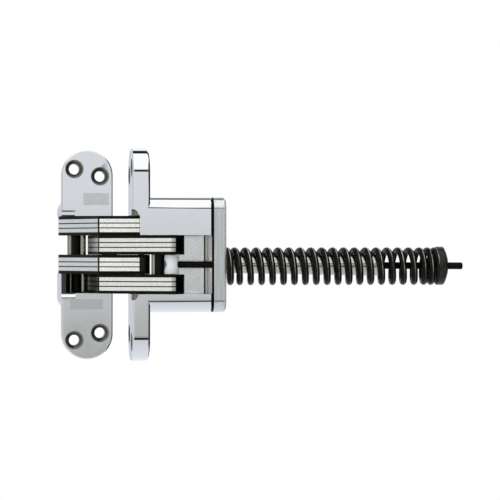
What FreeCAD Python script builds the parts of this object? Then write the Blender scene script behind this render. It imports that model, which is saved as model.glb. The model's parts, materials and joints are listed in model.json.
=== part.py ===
import FreeCAD, Part
import math
import os

import Sketcher
from FreeCAD import Placement, Rotation, Vector

# Concealed hinge for a 45 mm door, open at a right angle, with a rod and spring closer behind the door leaf.
# X points right, Y into the door frame, Z up. The origin is the centre of the frame leaf's face.

DRIVING_SIZES = {
    # both castings
    "plate_length": 117.5,
    "plate_width": 28.6,
    "plate_thickness": 9.7,
    "plate_chamfer": 0.6,
    "plate_back_round": 1.5,
    "housing_length": 63.5,
    "housing_depth": 43.8,
    "housing_corner": 7.0,
    "housing_back_round": 0.8,
    "recess_half_length": 21.7,
    "recess_depth": 41.2,
    "outer_wall": 3.3,
    "lower_row_wall": 2.6,
    "inner_wall": 2.6,
    "inner_opening_depth": 18.5,
    "outer_notch_depth": 4.0,
    "face_notch_radius": 3.2,
    "face_notch_length": 7.7,
        "groove_half_width": 3.1,
    "groove_start": 17.4,
    "groove_end": 38.2,
    "groove_depth": 2.5,
    "groove_across": -7.67,
    "panel_depth": 0.25,
    "upper_panel_left": -2.2,
    "upper_panel_right": 12.1,
    "upper_panel_bottom": 27.8,
    "upper_panel_top": 34.4,
    "lower_panel_left": -9.6,
    "lower_panel_right": 8.9,
    "lower_panel_bottom": -30.8,
    "lower_panel_top": -25.0,
    "cut_margin": 1.0,
    # mounting screws
    "screw_far_height": 48.0,
    "screw_near_height": 44.0,
    "screw_across": 7.2,
    "screw_hole": 6.0,
    "screw_head": 10.4,
    "screw_head_angle": 90.0,
    # linkage
    "leaf_offset": 22.3,
    "pivot_across": 10.4,
    "pivot_depth": 7.0,
    "centre_reach": 8.4,
    "slider_across": -7.8,
    "slider_depth": 22.0,
    "elbow_across": 4.9,
    "inner_elbow_across": 18.0,
    "inner_elbow_height": 3.0,
    "lobe_left": 0.2,
    "lobe_right": 14.0,
    "lobe_depth": 11.2,
    "arm_end_radius": 7.1,
    "elbow_round": 1.0,
    "inner_elbow_round": 6.0,
    "lobe_round": 3.4,
    "slot_half_width": 2.1,
    "fold_angle": 35.5,
    "row_pitch": 10.8,
    "row_gap": 0.2,
    "cheek_thickness": 1.25,
    "lamination_thickness": 2.667,
    "running_fit": 0.06,
    # pins
    "pivot_pin_radius": 1.75,
    "pivot_pin_half_length": 25.0,
    "centre_pin_radius": 2.1,
    "slider_pin_radius": 2.0,
    "slider_pin_half_length": 24.0,
    "roller_radius": 2.65,
    "roller_across": -5.2,
    "roller_depth": 15.7,
    "spacer_pin_radius": 1.7,
    "spacer_reach": 26.5,
    "link_stack_half_height": 21.45,
    "pin_chamfer": 0.4,
    # closer
    "cap_thickness": 8.0,
    "cap_chamfer": 1.1,
    "tube_radius": 4.7,
    "tube_bore": 2.2,
    "tube_end": 144.0,
    "rod_radius": 1.8,
    "rod_start": 21.0,
    "rod_end": 185.9,
    "rod_end_round": 0.8,
    "trunnion_radius": 4.0,
    "trunnion_bore": 2.75,
    "seat_radius": 10.7,
    "seat_start": 170.8,
    "seat_end": 174.5,
    "seat_dome": 177.3,
    "spring_mean_radius": 8.0,
    "spring_wire_radius": 1.65,
    "spring_turns": 22.0,
    "spring_gap": 0.02,
    "cap_screw_across": 9.4,
    "cap_screw_height": 26.2,
    "cap_screw_radius": 1.5,
    "cap_screw_head_radius": 2.75,
    "cap_screw_head_height": 3.0,
    "cap_screw_grip": 7.0,
    "cap_screw_socket": 1.45,
    "cap_screw_socket_depth": 1.8,
}

doc = FreeCAD.newDocument("ConcealedHinge")
sheet = doc.addObject("Spreadsheet::Sheet", "Sizes")
for line, (alias, value) in enumerate(DRIVING_SIZES.items(), start=1):
    sheet.set(f"A{line}", alias)
    sheet.set(f"B{line}", str(value))
    sheet.setAlias(f"B{line}", alias)
doc.recompute()

subparts = []


def cell(alias):
    return f"Sizes.{alias}"


def number(expression):
    result = sheet.evalExpression(expression)
    return float(getattr(result, "Value", result))


# Places that several pieces share, as expressions in the frame leaf's own directions.
HALF_WIDTH = "Sizes.plate_width / 2"
OUTSIDE_LEFT = "-Sizes.plate_width / 2 - Sizes.cut_margin"
OUTSIDE_RIGHT = "Sizes.plate_width / 2 + Sizes.cut_margin"
RECESS_LEFT = "-Sizes.plate_width / 2 + Sizes.outer_wall"
RECESS_RIGHT = "Sizes.plate_width / 2 - Sizes.inner_wall"
LOWER_ROW_LEFT = "-Sizes.plate_width / 2 + Sizes.lower_row_wall"
CENTRE_X = "Sizes.leaf_offset - Sizes.centre_reach"
CENTRE_Y = "-Sizes.centre_reach"
SLIDER_X = "Sizes.leaf_offset + Sizes.slider_depth"
SLIDER_Y = "Sizes.slider_across - Sizes.leaf_offset"
ELBOW_Y = "Sizes.elbow_across - Sizes.leaf_offset"
ARM_ANGLE = f"atan2({SLIDER_Y} - ({CENTRE_Y}); {SLIDER_X} - ({CENTRE_X}))"
SPACER_X = f"{CENTRE_X} + Sizes.spacer_reach * cos({ARM_ANGLE})"
SPACER_Y = f"{CENTRE_Y} + Sizes.spacer_reach * sin({ARM_ANGLE})"
ROLLER_X = "Sizes.leaf_offset + Sizes.roller_depth"
ROLLER_Y = "Sizes.roller_across - Sizes.leaf_offset"
PASSING_X = f"Sizes.leaf_offset + Sizes.pivot_depth - ({CENTRE_X})"
PASSING_Y = f"Sizes.pivot_across - Sizes.leaf_offset - ({CENTRE_Y})"
PASSING_REACH = f"sqrt(({PASSING_X})^2 + ({PASSING_Y})^2)"
PASSING_ANGLE = f"atan2({PASSING_Y}; {PASSING_X})"
SLOT_END_ANGLE = f"{PASSING_ANGLE} - Sizes.fold_angle * 1 deg"
SLOT_END_X = f"{CENTRE_X} + {PASSING_REACH} * cos({SLOT_END_ANGLE})"
SLOT_END_Y = f"{CENTRE_Y} + {PASSING_REACH} * sin({SLOT_END_ANGLE})"
ROD_HEIGHT = "-Sizes.row_pitch / 2"


def flipped_leaf():
    """Carries a piece of the frame side to its twin on the door side by a half turn."""
    offset = number(cell("leaf_offset"))
    return Placement(Vector(offset, -offset, 0), Rotation(Vector(1, 1, 0), 180))


def along_rod():
    """Turns a piece drawn along Z to lie on the closer's axis, measured from the door leaf's face."""
    offset = number(cell("leaf_offset"))
    across = number(cell("groove_across")) - offset
    return Placement(Vector(offset, across, number(ROD_HEIGHT)), Rotation(Vector(0, 1, 0), 90))


def new_body(label):
    body = doc.addObject("PartDesign::Body", label)
    body.Label = label
    return body


def keep(subpart, placement=None):
    if placement is not None:
        subpart.Placement = placement
    subparts.append(subpart)
    return subpart


def sketch_on(body, role, offset="0"):
    plane = [feature for feature in body.Origin.OriginFeatures if feature.Role == role][0]
    sketch = body.newObject("Sketcher::SketchObject", "Sketch")
    sketch.AttachmentSupport = [(plane, "")]
    sketch.MapMode = "FlatFace"
    sketch.setExpression("AttachmentOffset.Base.z", offset)
    return sketch


def bind(sketch, kind, elements, expression):
    index = sketch.addConstraint(Sketcher.Constraint(kind, *elements, number(expression)))
    sketch.setExpression(f"Constraints[{index}]", expression)


def pin_point(sketch, geometry, position, across, up):
    bind(sketch, "DistanceX", (-1, 1, geometry, position), across)
    bind(sketch, "DistanceY", (-1, 1, geometry, position), up)


def polygon(sketch, points):
    """A closed outline of straight edges whose corners are pinned to expressions."""
    places = [Vector(number(across), number(up), 0) for across, up in points]
    lines = []
    for start, end in zip(places, places[1:] + places[:1]):
        lines.append(sketch.addGeometry(Part.LineSegment(start, end), False))
    for line, following in zip(lines, lines[1:] + lines[:1]):
        sketch.addConstraint(Sketcher.Constraint("Coincident", line, 2, following, 1))
    for line, (across, up) in zip(lines, points):
        pin_point(sketch, line, 1, across, up)


def rectangle(sketch, left, right, bottom, top):
    polygon(sketch, [(left, bottom), (right, bottom), (right, top), (left, top)])


def circle(sketch, across, up, radius):
    centre = Vector(number(across), number(up), 0)
    ring = sketch.addGeometry(Part.Circle(centre, Vector(0, 0, 1), number(radius)), False)
    pin_point(sketch, ring, 3, across, up)
    bind(sketch, "Radius", (ring,), radius)


def obround(sketch, across, bottom, top, radius):
    """Two half circles joined by straight sides, with the long way up the sketch."""
    size = number(radius)
    upper_centre = Vector(number(across), number(top), 0)
    lower_centre = Vector(number(across), number(bottom), 0)
    half_turn = number("pi")
    normal = Vector(0, 0, 1)
    upper = sketch.addGeometry(Part.ArcOfCircle(Part.Circle(upper_centre, normal, size), 0, half_turn))
    lower = sketch.addGeometry(
        Part.ArcOfCircle(Part.Circle(lower_centre, normal, size), half_turn, 2 * half_turn)
    )
    side = Vector(size, 0, 0)
    left = sketch.addGeometry(Part.LineSegment(upper_centre - side, lower_centre - side))
    right = sketch.addGeometry(Part.LineSegment(lower_centre + side, upper_centre + side))
    for first, first_end, second, second_end in (
        (upper, 2, left, 1),
        (left, 2, lower, 1),
        (lower, 2, right, 1),
        (right, 2, upper, 1),
    ):
        sketch.addConstraint(Sketcher.Constraint("Tangent", first, first_end, second, second_end))
    pin_point(sketch, upper, 3, across, top)
    pin_point(sketch, lower, 3, across, bottom)
    bind(sketch, "Radius", (upper,), radius)
    bind(sketch, "Radius", (lower,), radius)


def pad(body, sketch, length, backwards=False):
    feature = body.newObject("PartDesign::Pad", "Pad")
    feature.Profile = sketch
    feature.Reversed = backwards
    feature.setExpression("Length", length)
    doc.recompute()
    return feature


def pocket(body, sketch, length):
    """Cuts away from the side that the sketch faces."""
    volume_before = body.Shape.Volume
    feature = body.newObject("PartDesign::Pocket", "Pocket")
    feature.Profile = sketch
    feature.setExpression("Length", length)
    doc.recompute()
    if not body.Shape.Volume < volume_before:
        raise RuntimeError(f"a pocket in {body.Label} removes nothing")
    return feature


def dress(body, kind, size_name, size, chosen):
    """Rounds or bevels the edges that the test picks."""
    base = body.Tip
    names = [f"Edge{i}" for i, edge in enumerate(base.Shape.Edges, start=1) if chosen(edge)]
    if not names:
        raise RuntimeError(f"no edge to dress in {body.Label}")
    feature = body.newObject(kind, "Dress")
    feature.Base = (base, names)
    feature.setExpression(size_name, size)
    doc.recompute()
    return feature


def round_edges(body, radius, chosen):
    return dress(body, "PartDesign::Fillet", "Radius", radius, chosen)


def bevel_edges(body, size, chosen):
    return dress(body, "PartDesign::Chamfer", "Size", size, chosen)


def is_close(value, target):
    return abs(value - target) < 0.01


def lies_at_depth(depth):
    return lambda edge: all(is_close(vertex.Point.y, depth) for vertex in edge.Vertexes)


def is_long_corner(half_width, half_length):
    """Edges that run into the frame along the corners of a rectangle."""

    def test(edge):
        ends = [vertex.Point for vertex in edge.Vertexes]
        at_corner = all(is_close(abs(p.x), half_width) and is_close(abs(p.z), half_length) for p in ends)
        return len(ends) == 2 and at_corner and not is_close(ends[0].y, ends[1].y)

    return test


def is_upright_at(across, up):
    """Edges parallel to Z that stand at one point of an outline."""
    x = number(across)
    y = number(up)

    def test(edge):
        ends = [vertex.Point for vertex in edge.Vertexes]
        standing = len(ends) == 2 and not is_close(ends[0].z, ends[1].z)
        return standing and all(is_close(p.x, x) and is_close(p.y, y) for p in ends)

    return test


def face_sketch(body, depth="0"):
    return sketch_on(body, "XZ_Plane", f"-({depth})")


def cut_rectangle(body, left, right, bottom, top, depth):
    sketch = face_sketch(body)
    rectangle(sketch, left, right, bottom, top)
    pocket(body, sketch, depth)


def cut_upright_hole(body, across, depth, radius, half_height):
    sketch = sketch_on(body, "XY_Plane", half_height)
    circle(sketch, across, depth, radius)
    pocket(body, sketch, f"2 * {half_height}")


def casting(label, is_door_leaf):
    """Long plate with full-round ends and a housing behind it, cast in one piece and then machined."""
    body = new_body(label)
    half_length = "Sizes.plate_length / 2"
    end_centre = "(Sizes.plate_length - Sizes.plate_width) / 2"
    recess_top = cell("recess_half_length")
    recess_bottom = f"-{recess_top}"
    open_bottom = "-Sizes.row_pitch"

    plate = face_sketch(body)
    obround(plate, "0", f"-{end_centre}", end_centre, HALF_WIDTH)
    pad(body, plate, cell("plate_thickness"), backwards=True)
    bevel_edges(body, cell("plate_chamfer"), lies_at_depth(0))
    round_edges(body, cell("plate_back_round"), lies_at_depth(number(cell("plate_thickness"))))

    housing = face_sketch(body, "2 * Sizes.plate_chamfer")
    housing_top = "Sizes.housing_length / 2"
    rectangle(housing, f"-{HALF_WIDTH}", HALF_WIDTH, f"-{housing_top}", housing_top)
    pad(body, housing, "Sizes.housing_depth - 2 * Sizes.plate_chamfer", backwards=True)
    round_edges(body, cell("housing_corner"), is_long_corner(number(HALF_WIDTH), number(housing_top)))
    round_edges(body, cell("housing_back_round"), lies_at_depth(number(cell("housing_depth"))))

    cut_rectangle(body, RECESS_LEFT, RECESS_RIGHT, recess_bottom, recess_top, cell("recess_depth"))
    cut_rectangle(body, OUTSIDE_LEFT, RECESS_LEFT, open_bottom, recess_top, cell("recess_depth"))
    cut_rectangle(body, OUTSIDE_LEFT, RECESS_LEFT, recess_bottom, open_bottom, cell("outer_notch_depth"))
    cut_rectangle(body, LOWER_ROW_LEFT, RECESS_LEFT, recess_bottom, open_bottom, cell("recess_depth"))
    cut_rectangle(body, RECESS_RIGHT, OUTSIDE_RIGHT, recess_bottom, recess_top, cell("inner_opening_depth"))
    back_opening(body, open_bottom, recess_top)
    guide_grooves(body)
    face_notches(body)
    pin_height = "Sizes.pivot_pin_half_length"
    cut_upright_hole(body, cell("pivot_across"), cell("pivot_depth"), cell("pivot_pin_radius"), pin_height)
    mounting_holes(body)
    if is_door_leaf:
        cap_screw_seats(body)
    else:
        name_panels(body)
    return keep(body, flipped_leaf() if is_door_leaf else None)


def back_opening(body, bottom, top):
    """Opens the back wall behind the three rows that share the open side."""
    sketch = face_sketch(body, cell("recess_depth"))
    rectangle(sketch, OUTSIDE_LEFT, RECESS_RIGHT, bottom, top)
    pocket(body, sketch, "Sizes.housing_depth - Sizes.recess_depth + Sizes.cut_margin")


def guide_grooves(body):
    """One groove in each end wall, which guides the links' sliding ends."""
    half_height = "Sizes.recess_half_length + Sizes.groove_depth"
    start = "Sizes.groove_start + Sizes.groove_half_width"
    end = "Sizes.groove_end - Sizes.groove_half_width"
    sketch = sketch_on(body, "XY_Plane", half_height)
    obround(sketch, cell("groove_across"), start, end, cell("groove_half_width"))
    pocket(body, sketch, f"2 * ({half_height})")


def face_notches(body):
    """Half-round scoops across the face, where the recess meets the plate."""
    for height in (cell("recess_half_length"), "-Sizes.recess_half_length"):
        sketch = sketch_on(body, "YZ_Plane", f"-{HALF_WIDTH} + Sizes.face_notch_length")
        circle(sketch, "0", height, cell("face_notch_radius"))
        pocket(body, sketch, "Sizes.face_notch_length + Sizes.cut_margin")


def mounting_holes(body):
    sketch = face_sketch(body)
    for sign in ("", "-"):
        circle(sketch, "-Sizes.screw_across", f"{sign}Sizes.screw_far_height", "Sizes.screw_hole / 2")
        circle(sketch, "Sizes.screw_across", f"{sign}Sizes.screw_near_height", "Sizes.screw_hole / 2")
    doc.recompute()
    hole = body.newObject("PartDesign::Hole", "MountingHoles")
    hole.Profile = sketch
    hole.DepthType = "ThroughAll"
    hole.setExpression("Diameter", cell("screw_hole"))
    hole.HoleCutType = "Countersink"
    hole.setExpression("HoleCutDiameter", cell("screw_head"))
    hole.setExpression("HoleCutCountersinkAngle", cell("screw_head_angle"))
    doc.recompute()


def cap_screw_seats(body):
    sketch = face_sketch(body, "Sizes.housing_depth - Sizes.cap_screw_grip")
    cap_screw_circles(sketch, cell("cap_screw_radius"))
    pocket(body, sketch, "Sizes.cap_screw_grip + Sizes.cut_margin")


def name_panels(body):
    """Two bare sunk panels on the face, one above the recess and one below."""
    for place in ("upper", "lower"):
        edges = [cell(f"{place}_panel_{side}") for side in ("left", "right", "bottom", "top")]
        cut_rectangle(body, *edges, cell("panel_depth"))


def link_outline(sketch):
    """Bent link: a lobe at its fixed pivot, an elbow at the crossing pin and an arm to the sliding end."""
    corners = {
        "lobe_right": ("Sizes.lobe_right", "Sizes.lobe_depth"),
        "lobe_left": ("Sizes.lobe_left", "Sizes.lobe_depth"),
        "elbow": (cell("elbow_across"), ELBOW_Y),
        "inner_elbow": (cell("inner_elbow_across"), "-Sizes.inner_elbow_height"),
    }
    place = {name: Vector(number(x), number(y), 0) for name, (x, y) in corners.items()}
    end = Vector(number(SLIDER_X), number(SLIDER_Y), 0)
    radius = number(cell("arm_end_radius"))
    angle = number(ARM_ANGLE) * number("pi") / 180
    quarter = number("pi") / 2
    arm_end = Part.ArcOfCircle(Part.Circle(end, Vector(0, 0, 1), radius), angle - quarter, angle + quarter)
    top = sketch.addGeometry(Part.LineSegment(place["lobe_right"], place["lobe_left"]))
    outer = sketch.addGeometry(Part.LineSegment(place["lobe_left"], place["elbow"]))
    lower = sketch.addGeometry(Part.LineSegment(place["elbow"], arm_end.StartPoint))
    arc = sketch.addGeometry(arm_end)
    upper = sketch.addGeometry(Part.LineSegment(arm_end.EndPoint, place["inner_elbow"]))
    inner = sketch.addGeometry(Part.LineSegment(place["inner_elbow"], place["lobe_right"]))
    for first, second in ((top, outer), (outer, lower), (upper, inner), (inner, top)):
        sketch.addConstraint(Sketcher.Constraint("Coincident", first, 2, second, 1))
    sketch.addConstraint(Sketcher.Constraint("Tangent", lower, 2, arc, 1))
    sketch.addConstraint(Sketcher.Constraint("Tangent", arc, 2, upper, 1))
    pin_point(sketch, arc, 3, SLIDER_X, SLIDER_Y)
    bind(sketch, "Radius", (arc,), cell("arm_end_radius"))
    pin_point(sketch, top, 1, *corners["lobe_right"])
    pin_point(sketch, outer, 1, *corners["lobe_left"])
    pin_point(sketch, lower, 1, *corners["elbow"])
    pin_point(sketch, inner, 1, *corners["inner_elbow"])
    return corners


def sector(sketch, across, up, radii, angles):
    """A part of a ring between two radii and two angles about one centre."""
    centre = Vector(number(across), number(up), 0)
    first, last = [number(angle) * number("pi") / 180 for angle in angles]
    arcs = []
    for radius in radii:
        ring = Part.Circle(centre, Vector(0, 0, 1), number(radius))
        arcs.append(sketch.addGeometry(Part.ArcOfCircle(ring, first, last)))
    inner, outer = [sketch.Geometry[arc] for arc in arcs]
    starts = (1, inner.StartPoint, outer.StartPoint)
    ends = (2, inner.EndPoint, outer.EndPoint)
    for position, inner_place, outer_place in (starts, ends):
        side = sketch.addGeometry(Part.LineSegment(inner_place, outer_place))
        sketch.addConstraint(Sketcher.Constraint("Coincident", side, 1, arcs[0], position))
        sketch.addConstraint(Sketcher.Constraint("Coincident", side, 2, arcs[1], position))
    for arc, radius in zip(arcs, radii):
        pin_point(sketch, arc, 3, across, up)
        bind(sketch, "Radius", (arc,), radius)
        for position, angle in zip((1, 2), angles):
            bind(sketch, "DistanceX", (-1, 1, arc, position), f"{across} + ({radius}) * cos({angle})")


def fold_slot(body, top, thickness):
    """Curved slot about the crossing pin, where the other set's fixed pin passes as the hinge folds."""
    angles = (SLOT_END_ANGLE, f"{PASSING_ANGLE} + Sizes.fold_angle * 1 deg")
    radii = (f"{PASSING_REACH} - Sizes.slot_half_width", f"{PASSING_REACH} + Sizes.slot_half_width")
    slot = sketch_on(body, "XY_Plane", top)
    sector(slot, CENTRE_X, CENTRE_Y, radii, angles)
    pocket(body, slot, thickness)


def link_plate(label, bottom, thickness, centre_hole, slider_hole, placement):
    body = new_body(label)
    outline = sketch_on(body, "XY_Plane", bottom)
    corners = link_outline(outline)
    pad(body, outline, thickness)
    round_edges(body, cell("elbow_round"), is_upright_at(*corners["elbow"]))
    round_edges(body, cell("inner_elbow_round"), is_upright_at(*corners["inner_elbow"]))
    lobe_left = is_upright_at(*corners["lobe_left"])
    lobe_right = is_upright_at(*corners["lobe_right"])
    round_edges(body, cell("lobe_round"), lambda edge: lobe_left(edge) or lobe_right(edge))
    top = f"{bottom} + {thickness}"
    fold_slot(body, top, thickness)
    cuts = sketch_on(body, "XY_Plane", top)
    circle(cuts, SLOT_END_X, SLOT_END_Y, cell("slot_half_width"))
    circle(cuts, cell("pivot_across"), cell("pivot_depth"), "Sizes.pivot_pin_radius + Sizes.running_fit")
    circle(cuts, CENTRE_X, CENTRE_Y, centre_hole)
    circle(cuts, SLIDER_X, SLIDER_Y, slider_hole)
    circle(cuts, SPACER_X, SPACER_Y, cell("spacer_pin_radius"))
    circle(cuts, ROLLER_X, ROLLER_Y, cell("roller_radius"))
    pocket(body, cuts, thickness)
    return keep(body, placement)


def link_stack(set_name, row, middle, centre_hole, slider_hole, placement):
    """Five plates of one row: a thin cheek on each side of three laminations."""
    plates = [("lower_cheek", cell("cheek_thickness"))]
    plates += [(f"lamination_{i}", cell("lamination_thickness")) for i in (1, 2, 3)]
    plates += [("upper_cheek", cell("cheek_thickness"))]
    bottom = f"{middle} - Sizes.cheek_thickness - 1.5 * Sizes.lamination_thickness"
    for plate, thickness in plates:
        label = f"{set_name}_row_{row}_{plate}"
        link_plate(label, bottom, thickness, centre_hole, slider_hole, placement)
        bottom = f"{bottom} + {thickness}"


def revolve(body, sketch):
    revolution = body.newObject("PartDesign::Revolution", "Turned")
    revolution.Profile = sketch
    revolution.ReferenceAxis = (sketch, ["V_Axis"])
    revolution.Angle = 360
    doc.recompute()


def turned(label, profile, placement):
    """A piece turned on a lathe: its half profile, as radius and station along the axis."""
    body = new_body(label)
    sketch = sketch_on(body, "XZ_Plane")
    polygon(sketch, profile)
    revolve(body, sketch)
    return keep(body, placement)


def pin_profile(radius, start, end):
    bevel = cell("pin_chamfer")
    return [
        ("0", start),
        (f"{radius} - {bevel}", start),
        (radius, f"{start} + {bevel}"),
        (radius, f"{end} - {bevel}"),
        (f"{radius} - {bevel}", end),
        ("0", end),
    ]


def ring_profile(bore, radius, start, end):
    return [(bore, start), (radius, start), (radius, end), (bore, end)]


def upright_at(across, up):
    return Placement(Vector(number(across), number(up), 0), Rotation())


def upright_pin(label, radius, half_length, across, up):
    return turned(label, pin_profile(radius, f"-{half_length}", half_length), upright_at(across, up))


def trunnion():
    """Cross pin of the door links, with a barrel in row 3 that is bored for the rod."""
    barrel_bottom = "-Sizes.row_pitch + Sizes.row_gap"
    barrel_top = "-Sizes.row_gap"
    journal = cell("slider_pin_radius")
    barrel = cell("trunnion_radius")
    end = cell("slider_pin_half_length")
    profile = pin_profile(journal, f"-{end}", end)
    shoulders = [
        (journal, barrel_bottom),
        (barrel, barrel_bottom),
        (barrel, barrel_top),
        (journal, barrel_top),
    ]
    body = turned("trunnion", profile[:3] + shoulders + profile[3:], upright_at(SLIDER_X, SLIDER_Y))
    bore = sketch_on(body, "YZ_Plane", f"{barrel} + Sizes.cut_margin")
    circle(bore, "0", ROD_HEIGHT, cell("trunnion_bore"))
    pocket(body, bore, f"2 * ({barrel} + Sizes.cut_margin)")
    return body


def is_rim_at(station):
    """Round edges at one station of a turned piece."""
    height = number(station)

    def test(edge):
        at_station = all(is_close(vertex.Point.z, height) for vertex in edge.Vertexes)
        return at_station and edge.Curve.TypeId == "Part::GeomCircle"

    return test


def closer_rod():
    start = cell("rod_start")
    end = cell("rod_end")
    radius = cell("rod_radius")
    rod = turned("closer_rod", ring_profile("0", radius, start, end), along_rod())
    round_edges(rod, cell("rod_end_round"), is_rim_at(end))
    return rod


def spring_seat():
    """Flat towards the spring and domed away from it."""
    body = new_body("spring_seat")
    sketch = sketch_on(body, "XZ_Plane")
    bore = (cell("rod_radius"), cell("seat_dome"))
    corners = [
        bore,
        (cell("rod_radius"), cell("seat_start")),
        (cell("seat_radius"), cell("seat_start")),
        (cell("seat_radius"), cell("seat_end")),
    ]
    places = [Vector(number(across), number(up), 0) for across, up in corners]
    lines = [
        sketch.addGeometry(Part.LineSegment(start, end)) for start, end in zip(places, places[1:])
    ]
    bulge = "(Sizes.seat_radius^2 - Sizes.rod_radius^2) / (Sizes.seat_dome - Sizes.seat_end)"
    centre = Vector(0, number(f"(Sizes.seat_dome + Sizes.seat_end - {bulge}) / 2"), 0)
    rim = places[-1] - centre
    crest = places[0] - centre
    ring = Part.Circle(centre, Vector(0, 0, 1), rim.Length)
    dome = sketch.addGeometry(Part.ArcOfCircle(ring, math.atan2(rim.y, rim.x), math.atan2(crest.y, crest.x)))
    for first, second in zip(lines, lines[1:]):
        sketch.addConstraint(Sketcher.Constraint("Coincident", first, 2, second, 1))
    sketch.addConstraint(Sketcher.Constraint("Coincident", lines[-1], 2, dome, 1))
    sketch.addConstraint(Sketcher.Constraint("Coincident", dome, 2, lines[0], 1))
    for line, (across, up) in zip(lines, corners):
        pin_point(sketch, line, 1, across, up)
    pin_point(sketch, lines[-1], 2, *corners[-1])
    sketch.addConstraint(Sketcher.Constraint("PointOnObject", dome, 3, -2))
    revolve(body, sketch)
    return keep(body, along_rod())


def cap_screw_circles(sketch, radius):
    for across in ("Sizes.cap_screw_across", "-Sizes.cap_screw_across"):
        for height in ("Sizes.cap_screw_height", "-Sizes.cap_screw_height"):
            circle(sketch, across, height, radius)


def closer_cap():
    """End plate with the housing's section; it holds the tube and is the spring's fixed seat."""
    body = new_body("closer_cap")
    near = cell("housing_depth")
    far = "Sizes.housing_depth + Sizes.cap_thickness"
    top = "Sizes.housing_length / 2"
    section = face_sketch(body, near)
    rectangle(section, f"-{HALF_WIDTH}", HALF_WIDTH, f"-{top}", top)
    pad(body, section, cell("cap_thickness"), backwards=True)
    round_edges(body, cell("housing_corner"), is_long_corner(number(HALF_WIDTH), number(top)))
    for depth in (near, far):
        bevel_edges(body, cell("cap_chamfer"), lies_at_depth(number(depth)))
    holes = face_sketch(body, near)
    circle(holes, cell("groove_across"), "Sizes.row_pitch / 2", cell("tube_radius"))
    cap_screw_circles(holes, cell("cap_screw_radius"))
    pocket(body, holes, cell("cap_thickness"))
    counterbores = face_sketch(body, f"{far} - Sizes.cap_screw_head_height")
    cap_screw_circles(counterbores, cell("cap_screw_head_radius"))
    pocket(body, counterbores, cell("cap_screw_head_height"))
    return keep(body, flipped_leaf())


def cap_screws():
    """Four socket screws that hold the cap on the housing, as one group of solids."""
    screws = []
    length = "Sizes.cap_screw_grip + Sizes.cap_thickness"
    for side in (1, -1):
        for end in (1, -1):
            shank = doc.addObject("Part::Cylinder", "Shank")
            shank.setExpression("Radius", cell("cap_screw_radius"))
            shank.setExpression("Height", f"{length} - Sizes.cap_screw_head_height")
            head = doc.addObject("Part::Cylinder", "Head")
            head.setExpression("Radius", cell("cap_screw_head_radius"))
            head.setExpression("Height", cell("cap_screw_head_height"))
            head.setExpression("Placement.Base.z", f"{length} - Sizes.cap_screw_head_height")
            socket = doc.addObject("Part::Prism", "Socket")
            socket.Polygon = 6
            socket.setExpression("Circumradius", cell("cap_screw_socket"))
            socket.setExpression("Height", cell("cap_screw_head_height"))
            socket.setExpression("Placement.Base.z", f"{length} - Sizes.cap_screw_socket_depth")
            blank = doc.addObject("Part::Fuse", "Blank")
            blank.Base = head
            blank.Tool = shank
            screw = doc.addObject("Part::Cut", "Screw")
            screw.Base = blank
            screw.Tool = socket
            across = side * number(cell("cap_screw_across"))
            height = end * number(cell("cap_screw_height"))
            depth = number("Sizes.housing_depth - Sizes.cap_screw_grip")
            screw.Placement = Placement(Vector(across, depth, height), Rotation(Vector(1, 0, 0), -90))
            screws.append(screw)
    group = doc.addObject("Part::Compound", "cap_screws")
    group.Label = "cap_screws"
    group.Links = screws
    return keep(group, flipped_leaf())


def closer_spring():
    """Compression spring wound round the tube, from the cap to its seat."""
    start = "Sizes.housing_depth + Sizes.cap_thickness + Sizes.spring_wire_radius + Sizes.spring_gap"
    end = "Sizes.seat_start - Sizes.spring_wire_radius - Sizes.spring_gap"
    helix = doc.addObject("Part::Helix", "SpringPath")
    helix.setExpression("Radius", cell("spring_mean_radius"))
    helix.setExpression("Height", f"{end} - ({start})")
    helix.setExpression("Pitch", f"({end} - ({start})) / Sizes.spring_turns")
    wire = doc.addObject("Part::Circle", "SpringWire")
    wire.setExpression("Radius", cell("spring_wire_radius"))
    wire_centre = Vector(number(cell("spring_mean_radius")), 0, 0)
    wire.Placement = Placement(wire_centre, Rotation(Vector(1, 0, 0), 90))
    doc.recompute()
    spring = doc.addObject("Part::Sweep", "closer_spring")
    spring.Label = "closer_spring"
    spring.Sections = [wire]
    spring.Spine = (helix, [f"Edge{i}" for i in range(1, len(helix.Shape.Edges) + 1)])
    spring.Solid = True
    spring.Frenet = True
    place = along_rod()
    place.move(Vector(number(start), 0, 0))
    return keep(spring, place)


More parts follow.
